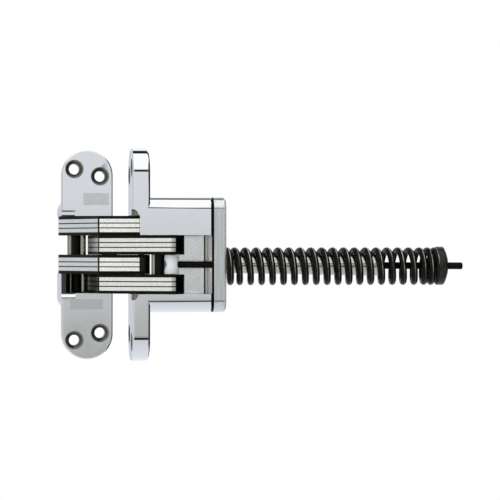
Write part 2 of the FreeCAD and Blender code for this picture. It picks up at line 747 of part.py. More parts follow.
def main():
    running_centre = "Sizes.centre_pin_radius + Sizes.running_fit"
    running_slider = "Sizes.slider_pin_radius + Sizes.running_fit"
    link_height = cell("link_stack_half_height")
    pivot_length = cell("pivot_pin_half_length")
    slider_length = cell("slider_pin_half_length")
    mirrored = flipped_leaf()

    casting("frame_casting", False)
    upright_pin(
        "frame_pivot_pin", cell("pivot_pin_radius"), pivot_length, cell("pivot_across"), cell("pivot_depth")
    )

    for row, middle in ((2, "Sizes.row_pitch / 2"), (4, "-1.5 * Sizes.row_pitch")):
        link_stack("door_link", row, middle, cell("centre_pin_radius"), running_slider, Placement())
    upright_pin("centre_pin", cell("centre_pin_radius"), link_height, CENTRE_X, CENTRE_Y)
    upright_pin("door_spacer_pin", cell("spacer_pin_radius"), link_height, SPACER_X, SPACER_Y)
    upright_pin("door_roller_pin", cell("roller_radius"), link_height, ROLLER_X, ROLLER_Y)

    for row, middle in ((1, "-1.5 * Sizes.row_pitch"), (3, "Sizes.row_pitch / 2")):
        link_stack("frame_link", row, middle, running_centre, cell("slider_pin_radius"), mirrored)
    upright_pin(
        "frame_slider_pin",
        cell("slider_pin_radius"),
        slider_length,
        cell("slider_across"),
        cell("slider_depth"),
    )
    upright_pin(
        "frame_spacer_pin",
        cell("spacer_pin_radius"),
        link_height,
        f"Sizes.leaf_offset + {SPACER_Y}",
        f"{SPACER_X} - Sizes.leaf_offset",
    )
    upright_pin(
        "frame_roller_pin",
        cell("roller_radius"),
        link_height,
        cell("roller_across"),
        cell("roller_depth"),
    )

    casting("door_casting", True)
    upright_pin(
        "door_pivot_pin",
        cell("pivot_pin_radius"),
        pivot_length,
        "Sizes.leaf_offset + Sizes.pivot_depth",
        "Sizes.pivot_across - Sizes.leaf_offset",
    )
    closer_cap()
    cap_screws()
    turned(
        "guide_tube",
        ring_profile(cell("tube_bore"), cell("tube_radius"), cell("housing_depth"), cell("tube_end")),
        along_rod(),
    )
    closer_spring()
    trunnion()
    closer_rod()
    spring_seat()


def check_document():
    for item in doc.Objects:
        if {"Invalid", "Error"} & set(item.State):
            raise RuntimeError(f"{item.Label} failed: {item.State}")
    for subpart in subparts:
        if subpart.Shape.isNull() or not subpart.Shape.isValid():
            raise RuntimeError(f"{subpart.Label} has no valid shape")


main()
doc.recompute()
check_document()
os.makedirs("parts", exist_ok=True)
for subpart in subparts:
    subpart.Shape.exportStep(f"parts/{subpart.Label}.step")
print(len(subparts), "sub-parts written")
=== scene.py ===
import json
import math

import bmesh
import bpy
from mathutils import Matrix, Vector


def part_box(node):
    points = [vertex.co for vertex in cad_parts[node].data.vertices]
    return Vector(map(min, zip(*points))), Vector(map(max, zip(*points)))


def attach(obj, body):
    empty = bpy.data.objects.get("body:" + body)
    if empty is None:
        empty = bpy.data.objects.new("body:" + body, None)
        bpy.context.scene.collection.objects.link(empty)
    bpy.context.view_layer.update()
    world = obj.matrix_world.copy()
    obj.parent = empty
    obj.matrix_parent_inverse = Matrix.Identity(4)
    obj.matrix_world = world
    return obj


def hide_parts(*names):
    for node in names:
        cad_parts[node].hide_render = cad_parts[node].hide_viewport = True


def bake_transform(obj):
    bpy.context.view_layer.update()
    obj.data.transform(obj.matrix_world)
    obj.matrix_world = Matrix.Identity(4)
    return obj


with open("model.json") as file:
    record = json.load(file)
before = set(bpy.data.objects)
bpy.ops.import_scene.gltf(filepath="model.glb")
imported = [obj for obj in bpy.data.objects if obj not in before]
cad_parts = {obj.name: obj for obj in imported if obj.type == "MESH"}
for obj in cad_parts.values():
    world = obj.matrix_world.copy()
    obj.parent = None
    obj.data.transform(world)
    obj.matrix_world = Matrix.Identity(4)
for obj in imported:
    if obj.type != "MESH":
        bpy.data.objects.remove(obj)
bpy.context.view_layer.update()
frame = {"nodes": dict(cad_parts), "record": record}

MM = 0.001

# Camera, fitted to the photograph: 500 pixels wide, 2400 pixels of focal length
FOCAL_LENGTH_MM = 172.8
SENSOR_WIDTH_MM = 36.0
CAMERA_PLACE = (-0.0970, -1.3463, 0.0026)
CAMERA_TURN_DEGREES = 8.0
CAMERA_REACH = 20

# Floor: the side of its square and its height
FLOOR_SIZE = 12
FLOOR_HEIGHT = -0.45

# Closer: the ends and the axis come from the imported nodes, the rest from the photograph
CAP_HIGH = Vector(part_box("closer_cap")[1])
SEAT_LOW, SEAT_HIGH = (Vector(corner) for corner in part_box("spring_seat"))
TUBE_HIGH = Vector(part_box("guide_tube")[1])
ROD_AXIS_Y = (SEAT_LOW.y + SEAT_HIGH.y) / 2
ROD_AXIS_Z = (SEAT_LOW.z + SEAT_HIGH.z) / 2
TUBE_END = 162.0 * MM
TUBE_RADIUS = 6.0 * MM
TUBE_SAG = 0.5 * MM
ROD_WIDENING = 1.08
ROD_DROOP = 0.0065

# Spring, read from the photograph; it hangs a little below the rod that it runs over
COIL_RADIUS = 8.75 * MM
SPRING_SAG = 1.0 * MM
WIRE_RADIUS = 1.8 * MM
SPRING_TURNS = 20.5
SPRING_START_ANGLE = math.radians(90)
STEPS_PER_TURN = 40
WIRE_SIDES = 24
WIRE_SHARP_ANGLE = math.radians(50)
# Turns that lie close together at each end, turns over which they open, and the share that they open by
CLOSED_TURNS_AT_CAP = 0.2
CLOSED_TURNS_AT_SEAT = 1.5
OPENING_TURNS = 1.4
SPRING_OPENNESS = 0.558
# How far from cap and seat the wire's middle starts and stops, in wire radii; both ends are ground flat
GRIND_AT_CAP = 0.5
GRIND_AT_SEAT = -0.5
# Which side of the wire carries the painted highlight line, and the heights between which it gets brighter
HIGHLIGHT_SIDE = 0
HIGHLIGHT_HEIGHTS = (-13 * MM, 1.5 * MM)

# Link stacks: rows and laminations along Z, the crease of the outer facets, which gets a painted shade line,
# and where along X the laminations turn black as painted shade on their rounded ends
ROW_PITCH = 10.8 * MM
LAMINATION = 2.667 * MM
JOINT_FADE = (0.22 * MM, 0.4 * MM)
LINK_CREASE = (4.95 * MM, -17.3 * MM, 0)
CREASE_SHADE_FADE = (0.45 * MM, 0.75 * MM)
FRAME_LINK_SHADE_START = 27.2 * MM
DOOR_LINK_SHADE_START = 45.7 * MM
LINK_SHADE_FADE = 0.3 * MM
CHEEK_GROWTH = 0.095 * MM

# Both castings, as across, up and depth measured from the middle of a leaf's face
LEAF_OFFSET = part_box("door_casting")[0][0]
RECESS_HALF_LENGTH = 21.7 * MM
RECESS_LEFT = -13.0 * MM
RECESS_RIGHT = 11.7 * MM
RECESS_START = 0.7 * MM
CASTING_BACK = 43.8 * MM
SCREW_PLACES = [
    (-7.2 * MM, 48.0 * MM),
    (7.2 * MM, 44.0 * MM),
    (-7.2 * MM, -48.0 * MM),
    (7.2 * MM, -44.0 * MM),
]
SCREW_HEAD_RADIUS = 5.2 * MM
SCREW_HEAD_MARGIN = 0.1 * MM
PANEL_BAND = (24.6 * MM, 36.0 * MM)
PANEL_REACH = 13.0 * MM
PANEL_DEPTH_LIMIT = 1.0 * MM

# Boxes in the part's frame that get painted shade: the door leaf's corner notch, also mirrored in Z, and the
# frame leaf's step
FACE_NOTCH = ((22.2 * MM, -29.0 * MM, 21.7 * MM), (25.7 * MM, -28.8 * MM, 25.0 * MM))
LOWER_ROW_STEP = ((-15.0 * MM, 3.8 * MM, -21.8 * MM), (-11.5 * MM, 4.2 * MM, -10.6 * MM))
# Where along X the painted shadow band on the door leaf's inner wall begins and ends, and how softly
INSIDE_SHADOW_BAND = (64.5 * MM, 65.5 * MM)
INSIDE_SHADOW_FADE = 0.2 * MM

# How squarely a face has to look along an axis to count as flat there, or less squarely as a slope
CAP_BACK_FACING = 0.95
CHAMFER_FACING = 0.3
HOLE_FACING = 0.95
PANEL_FACING = 0.97

# Widths of the rounds on sharp edges
CASTING_BEVEL = 0.3 * MM
LAMINATION_BEVEL = 0.12 * MM
CHEEK_BEVEL = 0.02 * MM
CAP_BEVEL = 0.25 * MM
CAP_SCREW_BEVEL = 0.1 * MM
TUBE_BEVEL = 0.25 * MM
TURNED_BEVEL = 0.3 * MM
BEVEL_SEGMENTS = 3
PANEL_RIM_SHARE = 0.5

TOLERANCE = 0.06 * MM
MERGE_DISTANCE = 0.002 * MM
FLAT_ANGLE = math.radians(0.5)
BEVEL_ANGLE = math.radians(28)
SHARP_ANGLE = math.radians(32)
BUMP_DEPTH = 0.05 * MM

# The studio that the metal mirrors. Angles in degrees; every colour is linear.
STUDIO_STRENGTH = 1.35
# Where the turning bands take over from the rising ones, as parts of a direction: left, right and level
LEFT_FADE = (-0.03, -0.08)
RIGHT_FADE = (0.46, 0.56)
LEVEL_FADE = (0.55, 0.75)
LAVENDER = (0.74, 0.75, 0.82)
DUSK = (0.40, 0.42, 0.46)
WHITE = (0.87, 0.87, 0.87)
BLACK = (0.01, 0.01, 0.01)
# From below the camera (negative) over the camera's own direction (0) and straight up (90) to the back (180)
RISING_BANDS = [
    (-180, DUSK),
    (-170, LAVENDER),
    (-24, (0.52, 0.54, 0.58)),
    (-21, (0.52, 0.54, 0.58)),
    (-20, BLACK),
    (-11, BLACK),
    (-9, (0.30, 0.31, 0.30)),
    (-3, (0.30, 0.31, 0.30)),
    (-1, (0.46, 0.47, 0.48)),
    (1, (0.585, 0.60, 0.63)),
    (9, (0.60, 0.62, 0.66)),
    (11, BLACK),
    (19, BLACK),
    (21, WHITE),
    (104, WHITE),
    (106, BLACK),
    (128, BLACK),
    (131, LAVENDER),
    (170, LAVENDER),
    (180, DUSK),
]
# From the back (-180) over the left (-90), the camera (0) and the right (90) to the back again
TURNING_BANDS = [
    (-180, (0.47, 0.485, 0.54)),
    (-169, (0.47, 0.485, 0.54)),
    (-160, (0.55, 0.58, 0.62)),
    (-98, (0.54, 0.57, 0.61)),
    (-92, (0.42, 0.44, 0.44)),
    (-76, (0.42, 0.44, 0.44)),
    (-72, WHITE),
    (-3, WHITE),
    (30, (0.55, 0.57, 0.6)),
    (38, BLACK),
    (140, BLACK),
    (160, LAVENDER),
    (180, LAVENDER),
]


def node_names(*words):
    return sorted(name for name in frame["nodes"] if all(word in name for word in words))


def body_of(node):
    bodies = frame["record"]["behaviour"]["bodies"]
    return [body for body, nodes in bodies.items() if node in nodes][0]


def new_material(name, base_color, metallic, roughness):
    """A material, its node tree and its shader, with the plain values set."""
    material = bpy.data.materials.new(name)
    material.use_nodes = True
    tree = material.node_tree
    shader = tree.nodes["Principled BSDF"]
    shader.inputs["Base Color"].default_value = (*base_color, 1)
    shader.inputs["Metallic"].default_value = metallic
    shader.inputs["Roughness"].default_value = roughness
    return material, tree, shader


def add_node(tree, kind, **values):
    node = tree.nodes.new(kind)
    for name, value in values.items():
        setattr(node, name, value)
    return node


def coordinates(tree, kind="Object"):
    return add_node(tree, "ShaderNodeTexCoord").outputs[kind]


def split_coordinates(tree, kind="Object"):
    """The X, Y and Z of the coordinates, by name."""
    split = add_node(tree, "ShaderNodeSeparateXYZ")
    tree.links.new(coordinates(tree, kind), split.inputs["Vector"])
    return split.outputs


def noise(tree, scale, detail=4.0, stretch=(1, 1, 1), roughness=0.5):
    """Noise in the part's frame, in metres; a larger stretch makes it finer along that axis."""
    mapping = add_node(tree, "ShaderNodeMapping")
    mapping.inputs["Scale"].default_value = stretch
    tree.links.new(coordinates(tree), mapping.inputs["Vector"])
    texture = add_node(tree, "ShaderNodeTexNoise")
    texture.inputs["Scale"].default_value = scale
    texture.inputs["Detail"].default_value = detail
    texture.inputs["Roughness"].default_value = roughness
    tree.links.new(mapping.outputs["Vector"], texture.inputs["Vector"])
    return texture.outputs["Fac"]


def math_node(tree, operation, first, second=None):
    node = add_node(tree, "ShaderNodeMath", operation=operation)
    for socket, value in zip(node.inputs, (first, second)):
        if isinstance(value, bpy.types.NodeSocket):
            tree.links.new(value, socket)
        elif value is not None:
            socket.default_value = value
    return node.outputs["Value"]


def remap(tree, value, low, high, to_low, to_high):
    node = add_node(tree, "ShaderNodeMapRange")
    node.inputs["From Min"].default_value = low
    node.inputs["From Max"].default_value = high
    node.inputs["To Min"].default_value = to_low
    node.inputs["To Max"].default_value = to_high
    tree.links.new(value, node.inputs["Value"])
    return node.outputs["Result"]


def color_ramp(tree, value, stops):
    ramp = add_node(tree, "ShaderNodeValToRGB")
    elements = ramp.color_ramp.elements
    while len(elements) < len(stops):
        elements.new(0.5)
    for element, (position, color) in zip(elements, stops):
        element.position = position
        element.color = (*color, 1)
    tree.links.new(value, ramp.inputs["Fac"])
    return ramp.outputs["Color"]


def mix_colors(tree, factor, first, second):
    """The first colour where the factor is 0, the second where it is 1; the second may be plain numbers."""
    mix = add_node(tree, "ShaderNodeMix", data_type="RGBA")
    tree.links.new(factor, mix.inputs["Factor"])
    tree.links.new(first, mix.inputs["A"])
    if isinstance(second, bpy.types.NodeSocket):
        tree.links.new(second, mix.inputs["B"])
    else:
        mix.inputs["B"].default_value = (*second, 1)
    return mix.outputs["Result"]


def add_bump(tree, shader, height, strength):
    bump = add_node(tree, "ShaderNodeBump")
    bump.inputs["Strength"].default_value = strength
    bump.inputs["Distance"].default_value = BUMP_DEPTH
    tree.links.new(height, bump.inputs["Height"])
    tree.links.new(bump.outputs["Normal"], shader.inputs["Normal"])


def casting_chrome():
    """Polished plating over a casting, with a trace of haze."""
    material, tree, shader = new_material("casting_chrome", (0.82, 0.83, 0.84), 1.0, 0.06)
    haze = noise(tree, 60, detail=3)
    tree.links.new(remap(tree, haze, 0.3, 0.7, 0.05, 0.08), shader.inputs["Roughness"])
    tint = color_ramp(tree, haze, [(0.25, (0.81, 0.82, 0.83)), (0.8, (0.84, 0.845, 0.85))])
    tree.links.new(tint, shader.inputs["Base Color"])
    return material


def casting_panel():
    """Floor of the bare name panels, a little duller than the plate round it."""
    material, tree, shader = new_material("casting_panel", (0.67, 0.685, 0.68), 1.0, 0.12)
    haze = noise(tree, 300, detail=4)
    tree.links.new(remap(tree, haze, 0.3, 0.7, 0.1, 0.18), shader.inputs["Roughness"])
    return material


def casting_inside(name, base_color, roughness, edge=None):
    """Unpolished inner wall: dull, with the mould's grain, and a painted shadow band along X where an edge is
    given.
    """
    material, tree, shader = new_material(name, base_color, 1.0, roughness)
    grain = noise(tree, 700, detail=5, roughness=0.6)
    darker = tuple(channel * 0.86 for channel in base_color)
    tint = color_ramp(tree, grain, [(0.3, darker), (0.7, base_color)])
    if edge:
        # Painted shadow: a dark band along X, in the corner of the inner wall.
        along = split_coordinates(tree)["X"]
        after = remap(tree, along, edge[0], edge[0] + INSIDE_SHADOW_FADE, 0.0, 1.0)
        before = remap(tree, along, edge[1], edge[1] + INSIDE_SHADOW_FADE, 1.0, 0.0)
        tint = mix_colors(tree, math_node(tree, "MULTIPLY", after, before), tint, (0.03, 0.03, 0.026))
    tree.links.new(tint, shader.inputs["Base Color"])
    add_bump(tree, shader, grain, 0.1)
    return material


def link_steel(name, shade_from, light_and_shade=1.0):
    """Tumbled laminations: bright satin and dark joints between them, with a painted shade line along the
    crease and painted black shade past a given length along X.
    """
    material, tree, shader = new_material(name, (0.7, 0.7, 0.66), 1.0, 0.3)
    grain = noise(tree, 1500, detail=5, roughness=0.75, stretch=(1, 1, 1.6))
    place = split_coordinates(tree)
    joint = joint_line(tree, place["Z"])
    # Painted shade: black on the rounded ends past the given length along X, and a dark line along the
    # crease.
    end_shade = remap(tree, place["X"], shade_from, shade_from + LINK_SHADE_FADE, 0.0, 1.0)
    dark = math_node(tree, "MAXIMUM", math_node(tree, "MAXIMUM", joint, end_shade), crease_shade(tree))
    # The scale paints the steel lighter or darker: painted light and shade.
    dull = tuple(light_and_shade * level for level in (0.50, 0.505, 0.47))
    bright = tuple(light_and_shade * level for level in (0.83, 0.83, 0.80))
    steel = color_ramp(tree, grain, [(0.34, dull), (0.56, bright)])
    tint = mix_colors(tree, dark, steel, (0.014, 0.014, 0.011))
    tree.links.new(tint, shader.inputs["Base Color"])
    tree.links.new(remap(tree, grain, 0.3, 0.7, 0.34, 0.24), shader.inputs["Roughness"])
    add_bump(tree, shader, grain, 0.16)
    return material


def joint_line(tree, height):
    """1 on the dark joints between laminations, 0 elsewhere; the pattern repeats from row to row."""
    rows_below_zero = 8
    offset = math_node(tree, "ADD", height, rows_below_zero * ROW_PITCH)
    in_row = math_node(tree, "MODULO", offset, ROW_PITCH)
    from_middle = math_node(tree, "ABSOLUTE", math_node(tree, "SUBTRACT", in_row, ROW_PITCH / 2))
    from_joint = math_node(tree, "ABSOLUTE", math_node(tree, "SUBTRACT", from_middle, LAMINATION / 2))
    from_edge = math_node(tree, "ABSOLUTE", math_node(tree, "SUBTRACT", from_middle, 1.5 * LAMINATION))
    nearest = math_node(tree, "MINIMUM", from_joint, from_edge)
    return remap(tree, nearest, *JOINT_FADE, 1.0, 0.0)


def crease_shade(tree):
    """1 along the upright line where the link's two outer facets meet, 0 elsewhere: a painted shade line."""
    flat = add_node(tree, "ShaderNodeVectorMath", operation="MULTIPLY")
    flat.inputs[1].default_value = (1, 1, 0)
    tree.links.new(coordinates(tree), flat.inputs[0])
    distance = add_node(tree, "ShaderNodeVectorMath", operation="DISTANCE")
    distance.inputs[1].default_value = LINK_CREASE
    tree.links.new(flat.outputs["Vector"], distance.inputs[0])
    return remap(tree, distance.outputs["Value"], *CREASE_SHADE_FADE, 1.0, 0.0)


def black_steel(name, darkest, lightest, gloss):
    """Blackened steel with a light film of oil."""
    material, tree, shader = new_material(name, darkest, 0.0, 0.3)
    mottle = noise(tree, 420, detail=5)
    tint = color_ramp(tree, mottle, [(0.3, darkest), (0.8, lightest)])
    tree.links.new(tint, shader.inputs["Base Color"])
    tree.links.new(remap(tree, mottle, 0.3, 0.7, 0.24, 0.4), shader.inputs["Roughness"])
    shader.inputs["Specular IOR Level"].default_value = gloss
    add_bump(tree, shader, noise(tree, 1500, detail=3), 0.12)
    return material


def spring_steel():
    """Oil-tempered spring wire: glossy black with faint drawing marks."""
    material, tree, shader = new_material("spring_steel", (0.004, 0.0045, 0.003), 0.0, 0.15)
    mottle = noise(tree, 300, detail=5)
    tint = color_ramp(tree, mottle, [(0.3, (0.001, 0.001, 0.001)), (0.8, (0.015, 0.017, 0.011))])
    tree.links.new(tint, shader.inputs["Base Color"])
    tree.links.new(remap(tree, mottle, 0.3, 0.7, 0.16, 0.28), shader.inputs["Roughness"])
    shader.inputs["Specular IOR Level"].default_value = 0.07
    add_bump(tree, shader, noise(tree, 1200, detail=3), 0.1)
    return material


def spring_painted_highlight():
    """Painted highlight along one flank of the spring wire: olive, brighter towards the top as painted light
    from above, and broken along its length.
    """
    material, tree, shader = new_material("spring_painted_highlight", (0.3, 0.31, 0.25), 0.0, 0.3)
    height = remap(tree, split_coordinates(tree)["Z"], *HIGHLIGHT_HEIGHTS, 0.0, 1.0)
    patches = remap(tree, noise(tree, 130, detail=3), 0.36, 0.6, 0.12, 1.0)
    highlight = math_node(tree, "MULTIPLY", height, patches)
    tint = color_ramp(tree, highlight, [(0.0, (0.006, 0.006, 0.005)), (1.0, (0.62, 0.63, 0.52))])
    tree.links.new(tint, shader.inputs["Base Color"])
    return material


def pin_steel():
    """Ground steel with marks round the pin; its dark base colour is partly the steel's own tone and partly
    painted shade for the pins deep in the recesses.
    """
    material, tree, shader = new_material("pin_steel", (0.27, 0.26, 0.215), 1.0, 0.22)
    marks = noise(tree, 900, stretch=(1, 1, 12))
    tree.links.new(remap(tree, marks, 0.3, 0.7, 0.16, 0.3), shader.inputs["Roughness"])
    add_bump(tree, shader, marks, 0.08)
    return material


def countersink_steel():
    """Freshly cut cones and bores of the screw holes, which mirror little but the dark of the hole."""
    material, tree, shader = new_material("countersink_steel", (0.20, 0.195, 0.17), 1.0, 0.3)
    rings = noise(tree, 500, detail=3)
    tree.links.new(remap(tree, rings, 0.3, 0.7, 0.22, 0.38), shader.inputs["Roughness"])
    return material


def cap_steel():
    """Steel plate with a coarse upright brush finish."""
    material, tree, shader = new_material("cap_steel", (0.72, 0.75, 0.74), 1.0, 0.3)
    brush = noise(tree, 900, detail=5, stretch=(1, 1, 0.04), roughness=0.65)
    tint = color_ramp(tree, brush, [(0.3, (0.60, 0.63, 0.62)), (0.72, (0.82, 0.85, 0.84))])
    tree.links.new(tint, shader.inputs["Base Color"])
    tree.links.new(remap(tree, brush, 0.3, 0.7, 0.3, 0.16), shader.inputs["Roughness"])
    add_bump(tree, shader, brush, 0.12)
    return material


def tube_nickel():
    """Warm satin nickel with fine turning rings."""
    material, tree, shader = new_material("tube_nickel", (0.66, 0.62, 0.56), 1.0, 0.26)
    rings = noise(tree, 1500, stretch=(1, 0.05, 0.05))
    tree.links.new(remap(tree, rings, 0.3, 0.7, 0.1, 0.2), shader.inputs["Roughness"])
    tint = color_ramp(tree, rings, [(0.3, (0.46, 0.44, 0.37)), (0.75, (0.62, 0.60, 0.52))])
    tree.links.new(tint, shader.inputs["Base Color"])
    add_bump(tree, shader, rings, 0.1)
    return material


def cap_edge():
    """The cap's outer chamfer: the same steel, blasted, so that it stays light from any side."""
    material, tree, shader = new_material("cap_edge", (0.86, 0.90, 0.89), 0.3, 0.42)
    grain = noise(tree, 900, detail=4)
    tree.links.new(remap(tree, grain, 0.3, 0.7, 0.36, 0.5), shader.inputs["Roughness"])
    return material


def trunnion_chrome():
    """Frosted bright plating, nearly white all round."""
    material, tree, shader = new_material("trunnion_chrome", (0.95, 0.98, 1.0), 0.0, 0.3)
    haze = noise(tree, 250)
    tree.links.new(remap(tree, haze, 0.3, 0.7, 0.26, 0.36), shader.inputs["Roughness"])
    return material


MATERIALS = {
    "casting_chrome": casting_chrome(),
    "casting_panel": casting_panel(),
    # The same link steel, painted lighter for the frame links and darker for the door links: painted light
    # and shade.
    "frame_link_steel": link_steel("frame_link_steel", FRAME_LINK_SHADE_START, 1.04),
    "door_link_steel": link_steel("door_link_steel", DOOR_LINK_SHADE_START, 0.88),
    "black_steel": black_steel("black_steel", (0.002, 0.002, 0.0015), (0.008, 0.0085, 0.006), 0.07),
    "seat_steel": black_steel("seat_steel", (0.005, 0.0055, 0.004), (0.034, 0.037, 0.027), 0.22),
    "spring_steel": spring_steel(),
    "spring_painted_highlight": spring_painted_highlight(),
    "pin_steel": pin_steel(),
    "countersink_steel": countersink_steel(),
    # The frame leaf's inner wall is painted near black as shade; the door leaf's same wall is pale.
    "frame_inside_shade": casting_inside("frame_inside_shade", (0.07, 0.07, 0.065), 0.4),
    "door_inside": casting_inside("door_inside", (0.84, 0.85, 0.84), 0.14, INSIDE_SHADOW_BAND),
    "cap_steel": cap_steel(),
    "cap_edge": cap_edge(),
    "cap_inside": casting_inside("cap_inside", (0.5, 0.51, 0.5), 0.3),
    "tube_nickel": tube_nickel(),
    "trunnion_chrome": trunnion_chrome(),
}


def clean_copy(node):
    """A copy of a CAD node without the triangulation of its flat faces."""
    mesh = frame["nodes"][node].data.copy()
    mesh.name = node + "_finish"
    piece = bpy.data.objects.new(node + "_finish", mesh)
    bpy.context.scene.collection.objects.link(piece)
    clean = bmesh.new()
    clean.from_mesh(mesh)
    bmesh.ops.remove_doubles(clean, verts=clean.verts, dist=MERGE_DISTANCE)
    bmesh.ops.dissolve_limit(clean, angle_limit=FLAT_ANGLE, verts=clean.verts, edges=clean.edges)
    clean.to_mesh(mesh)
    clean.free()
    return piece


def apply_modifiers(piece):
    graph = bpy.context.evaluated_depsgraph_get()
    evaluated = bpy.data.meshes.new_from_object(piece.evaluated_get(graph))
    piece.modifiers.clear()
    piece.data = evaluated


def soften_edges(piece, bevel_width, share_at=None):
    """Small rounds on the sharp edges, whose width is a share of the full one where a function says so."""
    weights = piece.data.attributes.new("bevel_weight_edge", "FLOAT", "EDGE")
    shape = bmesh.new()
    shape.from_mesh(piece.data)
    for edge in shape.edges:
        sharp = len(edge.link_faces) == 2 and edge.calc_face_angle() > BEVEL_ANGLE
        middle = (edge.verts[0].co + edge.verts[1].co) / 2
        if sharp:
            weights.data[edge.index].value = 1.0 if share_at is None else share_at(middle)
    shape.free()
    bevel = piece.modifiers.new("Bevel", "BEVEL")
    bevel.width = bevel_width
    bevel.segments = BEVEL_SEGMENTS
    bevel.limit_method = "WEIGHT"
    bevel.use_clamp_overlap = True
    apply_modifiers(piece)


def smooth_by_angle(piece, angle=SHARP_ANGLE):
    piece.data.shade_smooth()
    piece.data.set_sharp_from_angle(angle=angle)


def keep_flats_flat(piece):
    smooth_by_angle(piece)
    weighted = piece.modifiers.new("Weighted", "WEIGHTED_NORMAL")
    weighted.keep_sharp = True
    weighted.weight = 100
    apply_modifiers(piece)


def finish_piece(piece, material_name, node, body=None):
    piece.data.materials.clear()
    piece.data.materials.append(MATERIALS[material_name])
    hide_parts(node)
    if body:
        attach(piece, body)


def dress_nodes(names, material_name, bevel_width, reshape=None):
    for name in names:
        piece = clean_copy(name)
        if reshape:
            reshape(piece)
        if bevel_width:
            soften_edges(piece, bevel_width)
        keep_flats_flat(piece)
        finish_piece(piece, material_name, name, body_of(name))


def thicken_cheek(piece):
    """Takes a cheek's outer face out to its neighbour in the next row, so that no light falls through."""
    heights = [vertex.co.z for vertex in piece.data.vertices]
    middle = (min(heights) + max(heights)) / 2
    outward = 1 if middle % ROW_PITCH > ROW_PITCH / 2 else -1
    for vertex in piece.data.vertices:
        if (vertex.co.z - middle) * outward > 0:
            vertex.co.z += CHEEK_GROWTH * outward


def widen_tube(piece):
    """Takes the part of the guide tube outside the cap to the width and length in the photograph."""
    scale = TUBE_RADIUS / (TUBE_HIGH.z - ROD_AXIS_Z)
    for vertex in piece.data.vertices:
        if vertex.co.x > CAP_HIGH.x + TOLERANCE:
            vertex.co.y = ROD_AXIS_Y + (vertex.co.y - ROD_AXIS_Y) * scale
            vertex.co.z = ROD_AXIS_Z - TUBE_SAG + (vertex.co.z - ROD_AXIS_Z) * scale
            vertex.co.x -= TUBE_HIGH.x - TUBE_END


def widen_rod(piece):
    """Takes the rod outside the cap to the width in the photograph, and lets it droop."""
    for vertex in piece.data.vertices:
        if vertex.co.x > CAP_HIGH.x + TOLERANCE:
            vertex.co.y = ROD_AXIS_Y + (vertex.co.y - ROD_AXIS_Y) * ROD_WIDENING
            vertex.co.z = ROD_AXIS_Z + (vertex.co.z - ROD_AXIS_Z) * ROD_WIDENING
    droop(piece)


def droop(piece):
    """Lets what the rod carries sink a little towards its free end."""
    for vertex in piece.data.vertices:
        vertex.co.z -= max(vertex.co.x - CAP_HIGH.x, 0) * ROD_DROOP


def dress_cap():
    """The brushed cap, with its back, its outer chamfer and its inner chamfer in materials of their own; the
    inner chamfer is black as painted shade where the cap meets the casting.
    """
    dress_nodes(["closer_cap"], "cap_steel", CAP_BEVEL)
    piece = bpy.data.objects["closer_cap_finish"]
    for name in ("cap_inside", "cap_edge", "black_steel"):
        piece.data.materials.append(MATERIALS[name])
    back, outer_chamfer, inner_chamfer = 1, 2, 3
    for face in piece.data.polygons:
        if face.normal.x < -CAP_BACK_FACING:
            face.material_index = back
        elif face.normal.x > CHAMFER_FACING and face.normal.y < -CHAMFER_FACING:
            face.material_index = outer_chamfer
        # The inner chamfer is painted black as shade.
        elif face.normal.x < -CHAMFER_FACING:
            face.material_index = inner_chamfer


def in_leaf(place, is_door_leaf):
    """A place as across, up and depth from the middle of its leaf's face."""
    if is_door_leaf:
        return place.y + LEAF_OFFSET, -place.z, place.x - LEAF_OFFSET
    return place.x, place.z, place.y


def in_screw_hole(across, up, reach=0.0):
    distances = [math.hypot(across - x, up - z) for x, z in SCREW_PLACES]
    return min(distances) < SCREW_HEAD_RADIUS + reach


def in_recess(across, up, depth):
    return (
        abs(up) < RECESS_HALF_LENGTH + TOLERANCE
        and RECESS_LEFT < across < RECESS_RIGHT + TOLERANCE
        and RECESS_START < depth < CASTING_BACK - TOLERANCE
    )


def in_box(place, low, high):
    return all(low[axis] - TOLERANCE < place[axis] < high[axis] + TOLERANCE for axis in range(3))


def in_face_notch(place):
    return in_box((place.x, place.y, abs(place.z)), *FACE_NOTCH)


def in_name_panel(across, up):
    return PANEL_BAND[0] < abs(up) < PANEL_BAND[1] and abs(across) < PANEL_REACH


def dress_casting(name, inside_material):
    """The casting with softened edges, dull in the recess, and dark cut steel in its holes; the frame leaf's
    recess and step are painted near black and the door leaf's corner notches dark, as painted shade.
    """
    is_door_leaf = name == "door_casting"

    def share_at(middle):
        across, up, depth = in_leaf(middle, is_door_leaf)
        if in_screw_hole(across, up, SCREW_HEAD_MARGIN):
            return 0.0
        if not is_door_leaf and in_name_panel(across, up) and depth < PANEL_DEPTH_LIMIT:
            return PANEL_RIM_SHARE if depth < TOLERANCE else 0.0
        return 1.0

    piece = clean_copy(name)
    soften_edges(piece, CASTING_BEVEL, share_at)
    keep_flats_flat(piece)
    finish_piece(piece, "casting_chrome", name, body_of(name))
    for material_name in (inside_material, "countersink_steel", "casting_panel"):
        piece.data.materials.append(MATERIALS[material_name])
    inside, cut, panel = 1, 2, 3
    for face in piece.data.polygons:
        across, up, depth = in_leaf(face.center, is_door_leaf)
        facing = abs(face.normal.x if is_door_leaf else face.normal.y)
        # The frame leaf's step takes the recess's painted near-black shade.
        on_step = not is_door_leaf and in_box(face.center, *LOWER_ROW_STEP)
        if in_recess(across, up, depth) or on_step:
            face.material_index = inside
        # The door leaf's corner notches get the dark cut steel as painted shade.
        elif in_screw_hole(across, up) and facing < HOLE_FACING or in_face_notch(face.center):
            face.material_index = cut
        elif in_name_panel(across, up) and TOLERANCE / 2 < depth < PANEL_DEPTH_LIMIT:
            face.material_index = panel if facing > PANEL_FACING else cut


